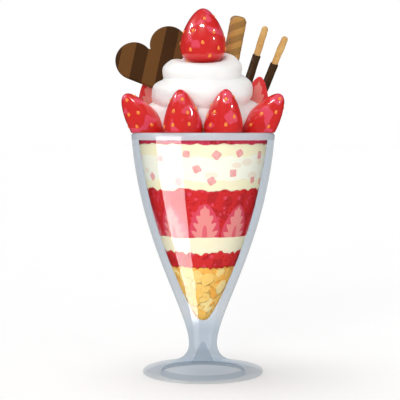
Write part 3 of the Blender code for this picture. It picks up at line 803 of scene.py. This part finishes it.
# More strawberry sauce: the same thick jam, pinker in its thin level layer on the ice cream, up to just
# under the lip. The whipped cream lies on it, and the fruit is pressed into it.

TOP_SAUCE_TOP = Surface(149.4, 0, 0)
layer_piece("sauce_on_ice_cream", ICE_CREAM_TOP, TOP_SAUCE_TOP, sauce_finish("top_jam", 0xDC3A54), 6,
            "top_sauce")


# Whipped cream: piped from a wide plain nozzle in one rope that goes round three times and ends under the
# top strawberry. Its turns sag a little into each other.

CREAM_HEIGHTS = (160.9, 177.8, 190.8)
CREAM_RADII = (27.3, 22.8, 16.8)
CREAM_THICKNESS = (10.8, 9.1, 8.2)
CREAM_SAG = (0.02, 0.12, 0.25)
CREAM_GIVE = 8.8
CREAM_GIVE_START = 58
CREAM_GIVE_END = 92
CREAM_CORE = [(0, 148), (23, 148), (23, 160), (21, 177), (15, 190), (0, 194)]
ROPE_START = -0.5
ROPE_END = 2.9
ROPE_TAIL = 2.35
ROPE_CLIMB = 2.1


def cream_give(angle):
    """How far the strawberries in front press the lowest turn of cream inwards."""
    away = abs((angle + 180) % 360 - 180)
    share = min(1, max(0, (CREAM_GIVE_END - away) / (CREAM_GIVE_END - CREAM_GIVE_START)))
    return CREAM_GIVE * share**2 * (3 - 2 * share)


def cream_rope(sides, steps):
    count = round((ROPE_END - ROPE_START) * steps)
    rings = []
    for step in range(count + 1):
        t = ROPE_START + (ROPE_END - ROPE_START) * step / count
        climb = min(t - math.sin(2 * math.pi * t) / (2 * math.pi), ROPE_CLIMB)
        tail = max(0, min(1, (t - ROPE_TAIL) / 0.5))
        begun = min(1, (t - ROPE_START) / 0.12 + 0.35)
        thick = between(CREAM_THICKNESS, climb) * (1 - 0.3 * tail) * begun
        radius = between(CREAM_RADII, climb) * (1 - 0.5 * tail) - cream_give(360 * t) * max(0, 1 - climb)
        centre = at_angle(360 * t, radius, between(CREAM_HEIGHTS, climb))
        centre.z += between(CREAM_SAG, climb) * centre.y - CREAM_THICKNESS[0] * 0.6 * (1 - begun)
        outward = at_angle(360 * t, 1, 0)
        ring = []
        for i in range(sides):
            a = 2 * math.pi * i / sides
            fold = 1 + 0.02 * math.sin(6 * a + 14 * t) + 0.025 * noise.noise(Vector((a, 6 * t, 0)))
            ring.append(centre + thick * fold * (outward * math.cos(a) + Vector((0, 0, math.sin(a)))))
        rings.append(ring)
    start, end = ([sum(ring, Vector((0, 0, 0))) / sides] for ring in (rings[0], rings[-1]))
    return ringed([start, *rings, end])


def whipped_finish():
    paint = Finish("whipped_cream")
    soft = paint.noise(6, 2)
    tint = paint.mix(soft, rgb(0xFAF8F4), rgb(0xFFFEFC))
    fine = paint.noise(0.8, 3)
    return paint.body(tint, 0.4 + 0.15 * fine, Normal=paint.bump(fine, 0.08),
                      Subsurface_Weight=0.3, Subsurface_Radius=(0.003, 0.0025, 0.002))


def make_whipped_cream():
    points, faces = turned(CREAM_CORE, 64)
    add_part(points, faces, *cream_rope(40, 90))
    cream = mesh_piece("whipped_cream_swirl", points, faces, [whipped_finish()])
    remesh = cream.modifiers.new("one_body", "REMESH")
    remesh.mode = "VOXEL"
    remesh.voxel_size = 0.6 * MM
    smooth = cream.modifiers.new("soften", "SMOOTH")
    smooth.factor = 0.5
    smooth.iterations = 2
    made = bpy.data.meshes.new_from_object(cream.evaluated_get(bpy.context.evaluated_depsgraph_get()))
    cream.modifiers.clear()
    cream.data = made
    for point in made.vertices:
        point.co.z = max(point.co.z, TOP_SAUCE_TOP.height * MM)
    made.shade_smooth()
    stand_in(cream, "whipped_cream")


make_whipped_cream()


# Strawberries: whole and halved fruit round the cream, hulled, standing on the cut hull end, and one more on
# top. The skin is wet and red with orange seeds, each in its own dimple.

TOP_BERRY = (36, 14.3)
FRONT_BERRY = (34, 11.8)
SIDE_BERRY = (36, 10.6)
SIDE_HALF = (38.5, 10)
RIGHT_HALF = (39.6, 10)
BACK_HALF = (34, 11.4)
RIM_BERRIES = (
    (-22.8, 30, 144.6, 10, FRONT_BERRY),
    (22.8, 30, 144.8, 10, FRONT_BERRY),
    (-77, 28.8, 146.6, 36, SIDE_BERRY),
    (77, 28.6, 146.5, 36, SIDE_BERRY),
)
FRONT_SEEDS = (
    ((0.85, 12), (0.66, -32), (0.62, 25), (0.42, -30), (0.42, 23)),
    ((0.85, 1), (0.61, -42), (0.56, 35), (0.38, -46), (0.42, 5)),
    ((0.91, -7), (0.69, -37), (0.63, 7), (0.45, -28), (0.33, 20)),
    ((0.94, 6), (0.72, 24), (0.56, -24), (0.45, 26), (0.3, -30)),
)
TOP_SEEDS = ((0.82, 6), (0.61, -31), (0.58, 33), (0.4, -1), (0.31, 44), (0.28, -34), (0.17, 20))
HALF_BERRIES = (
    ((-29.2, 5.2, 148.4), -10, 10, 4, SIDE_HALF),
    ((29.2, 4.4, 148.4), 10, 1, -2, RIGHT_HALF),
    ((-13.5, 28.5, 145.6), -4, 9, -25, BACK_HALF),
    ((13.5, 28.5, 145.6), 4, 9, 25, BACK_HALF),
)
TOP_BERRY_FOOT = (0, -4.2, 193.2)
SEED_SPACING = 9.5
SEED = (1.05, 1.3, 0.55)
DIMPLE = (1.7, 0.5)


def skin_finish():
    paint = Finish("strawberry_skin")
    share = paint.stored("on_berry", "Vector").part("Y")
    # Painted sheen: pink patches over the upper part of the skin, for the pinkish glow round its highlights.
    painted_sheen = paint.noise(9, 1).step(0.54, 0.58) * share.step(0.28, 0.34)
    tint = paint.mix(painted_sheen * 0.85, rgb(0xDC2624), rgb(0xEC5068))
    fine = paint.noise(1.4, 3)
    return paint.body(tint, 0.3 + 0.15 * fine, Normal=paint.bump(fine, 0.1),
                      Specular_IOR_Level=0.25, Coat_Weight=1.0, Coat_Roughness=0.04,
                      Subsurface_Weight=0.12, Subsurface_Radius=(0.003, 0.001, 0.0006))


def seed_finish():
    paint = Finish("strawberry_seed")
    tone = paint.noise(1.5, 2)
    tint = paint.mix(tone, rgb(0xFF7E30), rgb(0xFFA040))
    return paint.body(tint, 0.35 + 0.1 * tone)


SKIN = skin_finish()
SEEDS = seed_finish()


def berry_point(share, turn, size, peak, bluntness):
    reach = berry_reach(share, size, peak, bluntness)
    reach *= 1 + 0.015 * math.sin(3 * turn) + 0.015 * math.sin(2 * turn + 1)
    return Vector((reach * math.cos(turn), reach * math.sin(turn), share * size[0]))


def seed_spots(form, chance, front, seeds):
    """Where the seeds are, as place, outward direction and the way to the tip.

    seeds are those on the front, which is this many degrees from +X, as share of the length and degrees
    round it. The others are spread evenly over the other side.
    """
    shares = np.linspace(0, 1, 200)
    reaches = np.array([berry_reach(share, *form) for share in shares])
    steps = np.hypot(np.diff(reaches), np.diff(shares) * form[0][0])
    area = np.concatenate([[0], np.cumsum(2 * math.pi * (reaches[1:] + reaches[:-1]) / 2 * steps)])
    count = round(area[-1] / (0.87 * SEED_SPACING**2))
    places = [(share, math.radians(front + angle)) for share, angle in seeds]
    for i in range(count):
        share = float(np.interp((i + 0.5) * area[-1] / count, area, shares))
        turn = math.radians(i * 137.508 + chance.uniform(-9, 9)) % (2 * math.pi)
        behind = -math.cos(turn - math.radians(front))
        if behind > (-0.25 if seeds else 0.15) and 0.06 < share < 0.95:
            places.append((share, turn))
    spots = []
    for share, turn in places:
        here = berry_point(share, turn, *form)
        ahead = berry_point(min(share + 0.01, 1), turn, *form) - here
        aside = berry_point(share, turn + 0.01, *form) - here
        spots.append((here, aside.cross(ahead).normalized(), ahead.normalized()))
    return spots


def dimpled(points, spots):
    """Sinks the skin round each seed."""
    wide, deep = DIMPLE
    places = np.array([tuple(point) for point in points])
    for here, outward, _ in spots:
        away = np.linalg.norm(places - np.array(here), axis=1)
        places -= (deep * np.exp(-((away / wide) ** 2)))[:, None] * np.array(outward)
    return [Vector(place) for place in places]


def seed_shape(here, outward, ahead):
    """One seed, a drop with its point towards the strawberry's tip."""
    aside = outward.cross(ahead)
    wide, long, thick = SEED
    rings = []
    for row in range(7):
        turn = math.pi * row / 6
        along = -math.cos(turn)
        size = math.sin(turn) * (1 - 0.25 * along)
        centre = here - outward * (DIMPLE[1] * 0.62) + ahead * (long * along)
        ring = [centre]
        if 0 < row < 6:
            turns = [2 * math.pi * i / 10 for i in range(10)]
            ring = [aside * (wide * math.cos(a)) + outward * (thick * math.sin(a)) for a in turns]
            ring = [centre + size * point for point in ring]
        rings.append(ring)
    return ringed(rings)


def strawberry(name, node, size, place, peak=0.7, bluntness=(0.28, 0.45), cut=None, seeds=(), front=-90):
    """A strawberry on its hull end, or its back half with a flat cut face, moved to its place."""
    half = cut is not None
    columns, rows = (48, 72) if half else (112, 84)
    form = (size, peak, bluntness)
    spots = seed_spots(form, random.Random(name), front, seeds)
    turns = np.linspace(0, math.pi if half else 2 * math.pi, columns + 1)[: columns + half]
    rings, marks = [], []
    for row in range(rows + 1):
        share = 0.5 - 0.5 * math.cos(math.pi * row / rows)
        ring = [berry_point(share, turn, *form) for turn in turns]
        if half:
            left, right = ring[-1].copy(), ring[0].copy()
            left.y = right.y = ring[0].y = ring[-1].y = 0
            ring += [left.lerp(right, i / columns) for i in range(1, columns)]
        if row in (0, rows):
            ring = ring[:1]
        marks += [(point.x / size[1], share, 0) for point in ring]
        rings.append(ring)
    points, faces = ringed(rings)
    points = dimpled(points, spots)
    kinds = [2 if half and i % (2 * columns) >= columns else 0 for i in range(len(faces))]
    for spot in spots:
        seed, sides = seed_shape(*spot)
        add_part(points, faces, seed, sides)
        marks += [(0, 0, 0)] * len(seed)
        kinds += [1] * len(sides)
    points = [place @ point for point in points]
    points = [in_bowl(point) if point.z < GLASS_HEIGHT else point for point in points]
    berry = mesh_piece(name, points, faces, [SKIN, SEEDS] + ([cut] if half else []), kinds)
    store(berry, "on_berry", marks)
    stand_in(berry, node)


def leaning(place, aside, back, turn=0.0):
    """Turns a piece about Z, leans it towards +X and to the back, and moves it."""
    return Matrix.Translation(place) @ turning(-back, aside, 0).to_4x4() @ turning_on("Z", turn)


def make_strawberries():
    for i, (angle, radius, height, outward, size) in enumerate(RIM_BERRIES):
        lean = turning_on("Z", angle) @ turning_on("X", outward)
        place = Matrix.Translation(at_angle(angle, radius, height)) @ lean
        blunt = (0.24 if size is SIDE_BERRY else 0.28, 0.45)
        strawberry(f"strawberry_{i + 1}", f"rim_berry_{i + 1}", size, place, bluntness=blunt,
                   seeds=FRONT_SEEDS[i], front=-90 - angle)
    cut = cut_finish("half_strawberry_cut", 0xDD2C2E, 0xE67D75, 0xE0605C, 0.92, 6.4, 10.57)
    for i, (foot, aside, back, facing, size) in enumerate(HALF_BERRIES):
        place = leaning(foot, aside, back, facing)
        strawberry(f"half_strawberry_{i + 1}", f"half_berry_{i + 1}", size, place, cut=cut)
    place = leaning(TOP_BERRY_FOOT, 0, -1)
    strawberry("strawberry_on_top", "top_berry", TOP_BERRY, place, 0.667, (0.31, 0.49), seeds=TOP_SEEDS)


make_strawberries()


# The chocolate heart: a moulded plate 4 mm thick of milk and dark chocolate in stripes, stuck into the cream
# behind the top strawberry. Its edges are soft and it has the dull gloss of a mould.

HEART_LOBE = 11.9
HEART_SPREAD = 12.1
HEART_POINT = 31.3
HEART_THICKNESS = 4.2
HEART_SOFT = 0.9
HEART_MIDDLE = -8
HEART_PLACE = (-32.7, 10.5, 202.6)
HEART_TURN = 25.6
HEART_LEAN = 11
STRIPE = 8.25
STRIPE_LEAN = 11.9
STRIPE_START = -84.2


def chocolate_stripes():
    paint = Finish("striped_chocolate")
    lean = math.radians(STRIPE_LEAN)
    across = paint.place.part("X") * math.cos(lean) - paint.place.part("Z") * math.sin(lean)
    across += 0.4 * (paint.noise(5, 2) - 0.5)
    share = paint.maths("FRACT", (across - STRIPE_START) / (2 * STRIPE) + 10)
    dark = share.step(0.0, 0.012) * (1 - share.step(0.494, 0.506))
    tint = paint.mix(dark, rgb(0x6C4620), rgb(0x42270A))
    cloud = paint.noise(6, 4)
    tint = paint.mix(0.2 * cloud, tint, rgb(0x563412))
    fine = paint.noise(0.9, 3)
    return paint.body(tint, 0.55 + 0.15 * cloud, Normal=paint.bump(fine, 0.06),
                      Specular_IOR_Level=0.1)


def heart_outline():
    down = math.hypot(HEART_SPREAD, HEART_POINT)
    side_end = math.degrees(math.asin(HEART_LOBE / down) + math.atan2(HEART_SPREAD, HEART_POINT))
    notch = math.degrees(math.acos((HEART_SPREAD - 0.4) / HEART_LOBE))
    right = arc((HEART_SPREAD, 0), HEART_LOBE, -side_end, 180 - notch, 48)
    left = right[::-1] * (-1, 1)
    tip = curve((-1.9, 2.6), (-0.9, 1.3), (0.9, 1.3), (1.9, 2.6), 6) - (0, HEART_POINT)
    return np.concatenate([right, left[1:], tip])


def make_heart():
    outline = heart_outline()
    forward = np.roll(outline, -1, 0) - np.roll(outline, 1, 0)
    inward = np.stack([-forward[:, 1], forward[:, 0]], 1)
    inward /= np.linalg.norm(inward, axis=1)[:, None]
    half = HEART_THICKNESS / 2
    rows = [(HEART_SOFT + 0.3, half)]
    for step in range(6):
        turn = math.pi / 2 * step / 5
        rows.append((HEART_SOFT * (1 - math.sin(turn)), half - HEART_SOFT + HEART_SOFT * math.cos(turn)))
    rows += [(inset, -depth) for inset, depth in rows[::-1]]
    rings = [[Vector((x, depth, z)) for x, z in outline + inward * inset] for inset, depth in rows]
    middles = [[Vector((0, depth, HEART_MIDDLE))] for depth in (half, -half)]
    points, faces = ringed([middles[0], *rings, middles[1]])
    place = leaning(HEART_PLACE, 0, HEART_LEAN) @ turning_on("Y", -HEART_TURN)
    heart = mesh_piece("striped_heart", [place @ point for point in points], faces, [chocolate_stripes()])
    stand_in(heart, "chocolate_heart")


make_heart()


# The wafer roll: a thin sweet wafer rolled hot into a tube round a rod, so that its edge winds round it
# in slanting bands. It stands in the cream to the right of the top strawberry.

ROLL_RADIUS = 5.7
ROLL_BORE = 2.6
ROLL_SOFT = 4
ROLL_LENGTH = 56
ROLL_TOP = (22.9, 13.5, 226)
ROLL_LEANS = (11, 2)
BAND_LEAD = 17.5


def wafer_finish():
    paint = Finish("rolled_wafer")
    band = paint.stored("band") + 0.12 * (paint.noise(6, 2) - 0.5)
    dark = band.step(0.42, 0.5) * (1 - band.step(0.92, 1.0))
    tint = paint.mix(dark, rgb(0xC08C3E), rgb(0xA0722F))
    toast = paint.noise(2.5, 4)
    tint = paint.mix(toast.step(0.5, 0.8) * 0.3, tint, rgb(0x7E5A24))
    return paint.body(tint, 0.55 + 0.15 * toast, Normal=paint.bump(toast, 0.25))


def make_wafer_roll():
    """The wafer's section is a strip wound in a spiral, and its outer face has a groove at each band."""
    winds, steps = 2.25, 120
    strip = (ROLL_RADIUS - ROLL_BORE) / (winds - 0.1) - 0.12
    outer, inner = [], []
    for step in range(steps + 1):
        turn = 2 * math.pi * winds * step / steps
        radius = ROLL_BORE + strip + (ROLL_RADIUS - ROLL_BORE - strip) * step / steps
        outer.append((turn, radius))
        inner.append((turn, max(ROLL_BORE, radius - strip)))
    section = outer + inner[::-1]
    rows = 70
    rings, bands = [], []
    for row in range(rows + 1):
        ring = []
        for turn, radius in section:
            over = max(0, radius - (ROLL_RADIUS - ROLL_SOFT))
            top = math.sqrt(max(0, ROLL_SOFT**2 - over**2)) - ROLL_SOFT
            height = -ROLL_LENGTH + (top + ROLL_LENGTH) * row / rows
            band = (height / BAND_LEAD * 2 - turn / math.pi) % 1
            dip = 0.22 * math.exp(-(((band - 0.46) / 0.05) ** 2)) + 0.1 * band
            reach = radius - dip
            ring.append(Vector((reach * math.cos(turn), reach * math.sin(turn), height)))
            bands.append(band)
        rings.append(ring)
    points, faces = ringed(rings)
    count = len(section)
    half = count // 2
    for first in (0, rows * count):
        for i in range(half - 1):
            cap = (first + i, first + i + 1, first + count - 2 - i, first + count - 1 - i)
            faces.append(cap if first else cap[::-1])
    place = leaning(ROLL_TOP, *ROLL_LEANS)
    roll = mesh_piece("wafer_tube", [place @ point for point in points], faces, [wafer_finish()])
    store(roll, "band", bands)
    stand_in(roll, "wafer_roll")


make_wafer_roll()


# Two dipped sticks: thin baked biscuit sticks with round tops, dipped in dark chocolate for most of their
# length, and stuck into the cream at the right.

STICK_RADIUS = 2.2
COAT_RADIUS = 2.65
STICKS = (
    ((40.3, 20, 220.2), 17.5, 2, 70, 19.5),
    ((53, 19, 213.6), 22.2, 1.5, 65, 19),
)


def biscuit_finish():
    paint = Finish("baked_biscuit")
    bake = paint.noise(7, 3)
    tint = paint.mix(bake.step(0.3, 0.7), rgb(0xDDB068), rgb(0xCF9C55))
    pores = paint.noise(0.7, 3)
    return paint.body(tint, 0.6 + 0.15 * pores, Normal=paint.bump(pores, 0.25))


def dip_finish():
    paint = Finish("dark_dip")
    flow = paint.noise(4, 2)
    tint = paint.mix(flow, rgb(0x40290E), rgb(0x4A3014))
    return paint.body(tint, 0.28 + 0.12 * flow, Normal=paint.bump(flow, 0.3),
                      Coat_Weight=0.3, Coat_Roughness=0.2)


BISCUIT = biscuit_finish()
DIP = dip_finish()


def rod(profile, seed, rough):
    """A rod along -Z from its top, a little uneven."""
    points, faces = turned(profile, 36)
    for point in points:
        point.xy *= 1 + rough * noise.noise(Vector((point.x / 3, point.y / 3, point.z / 6 + seed)))
    return points, faces


def straight(radius, low, high, steps):
    return [(radius, height) for height in np.linspace(low, high, steps)]


def make_stick(index, top, aside, back, length, bare):
    place = leaning(top, aside, back)
    cap = arc((0, -STICK_RADIUS), STICK_RADIUS, 0, 90, 8)
    sides = straight(STICK_RADIUS, 1 - length, -STICK_RADIUS, 60)
    profile = [(0, 1 - length), *sides[:-1], *cap[:-1], (0, 0)]
    points, faces = rod(profile, 7 * index, 0.12)
    stick = mesh_piece(f"biscuit_{index}", [place @ point for point in points], faces, [BISCUIT])
    foot = arc((COAT_RADIUS - 1, 1 - length), 1, -90, 0, 6)
    sides = straight(COAT_RADIUS, 1 - length, -bare - 0.9, 50)
    lip = arc((COAT_RADIUS - 0.45, -bare - 0.45), 0.45, 0, 150, 6)
    inner = [(STICK_RADIUS - 0.5, -bare - 0.8), (0, -bare - 0.8)]
    profile = [(0, -length), *foot, *sides[1:], *lip, *inner]
    points, faces = rod(profile, 3 + 5 * index, 0.07)
    for point in points:
        if point.z > -bare - 2:
            point.z += 0.35 * math.sin(2 * math.atan2(point.y, point.x) + index)
    dip = mesh_piece(f"chocolate_dip_{index}", [place @ point for point in points], faces, [DIP])
    for piece, node, slot in ((stick, "biscuit_stick", "biscuit"), (dip, "stick_coat", "dark_chocolate")):
        stand_in(piece, f"{node}_{index}")


for number, stick in enumerate(STICKS):
    make_stick(number + 1, *stick)
